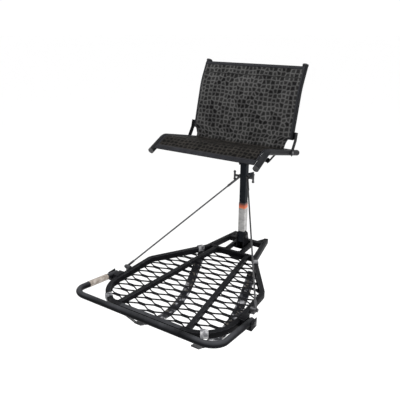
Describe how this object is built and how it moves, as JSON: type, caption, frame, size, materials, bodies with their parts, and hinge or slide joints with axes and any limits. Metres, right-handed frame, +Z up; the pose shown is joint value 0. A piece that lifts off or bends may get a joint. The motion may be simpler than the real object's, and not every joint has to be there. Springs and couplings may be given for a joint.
{
  "type": "tree_stand",
  "caption": "Hang-on tree stand: a post carries a cable-hung expanded-metal platform, a folding mesh sling seat with a backrest, a swing-out footrest and shoulder straps.",
  "frame": {"origin": "where the trunk's front line, which the post's brace and the platform's tips bear on, meets the platform's top face, on the middle plane", "axes": "+Z up; +Y from the platform towards the tree; +X to the right of someone facing the tree"},
  "size_m": [0.7304, 0.9505, 1.1144],
  "materials": {
    "frame": "matte charcoal powder coat",
    "post": "matte charcoal powder coat",
    "grate": "matte powder coat over expanded metal",
    "hardware": "blackened zinc",
    "ferrule": "pressed sleeve under black shrink tube",
    "cable": "black plastic coating over wire rope",
    "plastic": "fine moulded grain",
    "wrap": "blank printed film with an orange band",
    "sleeve": "blank tan film",
    "sling": "patterned woven mesh",
    "padding": "blotched woven cover over foam",
    "webbing": "flat woven polypropylene"
  },
  "bodies": {
    "post": {"post_tube": "post", "post_cap": "plastic", "post_wrap": "wrap", "tree_brace": "post", "strap_hook_rod": "hardware", "hook_collars": "hardware", "cable_eyes_upper": "ferrule", "hinge_bolt": "hardware", "hinge_nut": "hardware", "seat_yoke": "frame", "yoke_bolts": "hardware", "yoke_nuts": "hardware"},
    "platform": {"hinge_ears": "frame", "hinge_base": "frame", "side_rail_left": "frame", "side_rail_right": "frame", "front_rail": "frame", "rear_rail_left": "frame", "rear_rail_right": "frame", "rear_crossbar": "frame", "front_crossbar": "frame", "vee_left": "frame", "vee_right": "frame", "short_strut_left": "frame", "short_strut_right": "frame", "inner_strut_left": "frame", "inner_strut_right": "frame", "platform_grate": "grate", "cable_lugs": "hardware", "cable_eyes_lower": "ferrule", "cable_left": "cable", "cable_right": "cable", "footrest_bracket_left": "frame", "footrest_bracket_right": "frame", "footrest_bolts": "hardware", "shoulder_strap_left": "padding", "shoulder_strap_right": "padding", "strap_loops_rear": "webbing", "strap_loops_front": "webbing", "strap_webbing_rear": "webbing", "strap_webbing_front": "webbing", "strap_buckles": "plastic"},
    "footrest": {"footrest_tube": "frame", "footrest_plugs": "plastic", "footrest_sleeve": "sleeve"},
    "seat": {"seat_rail_left": "frame", "seat_rail_right": "frame", "seat_pivot_tube": "frame", "seat_middle_bar": "frame", "seat_bar_tabs": "frame", "seat_rail_caps": "plastic", "seat_sling": "sling", "back_pivot_bolts": "hardware"},
    "back": {"back_rail_left": "frame", "back_rail_right": "frame", "back_hinge_plates": "frame", "back_top_bar": "frame", "back_lower_bar": "frame", "back_rail_caps": "plastic", "back_sling": "sling"}
  },
  "joints": [
    {"name": "platform_fold", "type": "hinge", "parent": "post", "child": "platform", "pos_m": [0, -0.05, 0.04], "axis": [-1, 0, 0], "range_deg": [0, 50], "deforming": ["cable_left", "cable_right"]},
    {"name": "footrest_swing", "type": "hinge", "parent": "platform", "child": "footrest", "pos_m": [0, -0.631, -0.008], "axis": [-1, 0, 0], "range_deg": [0, 126]},
    {"name": "seat_flip", "type": "hinge", "parent": "post", "child": "seat", "pos_m": [0, -0.05, 0.507], "axis": [-1, 0, 0], "range_deg": [0, 85]},
    {"name": "back_fold", "type": "hinge", "parent": "seat", "child": "back", "pos_m": [0, -0.132, 0.52691], "axis": [1, 0, 0], "range_deg": [0, 85]}
  ]
}
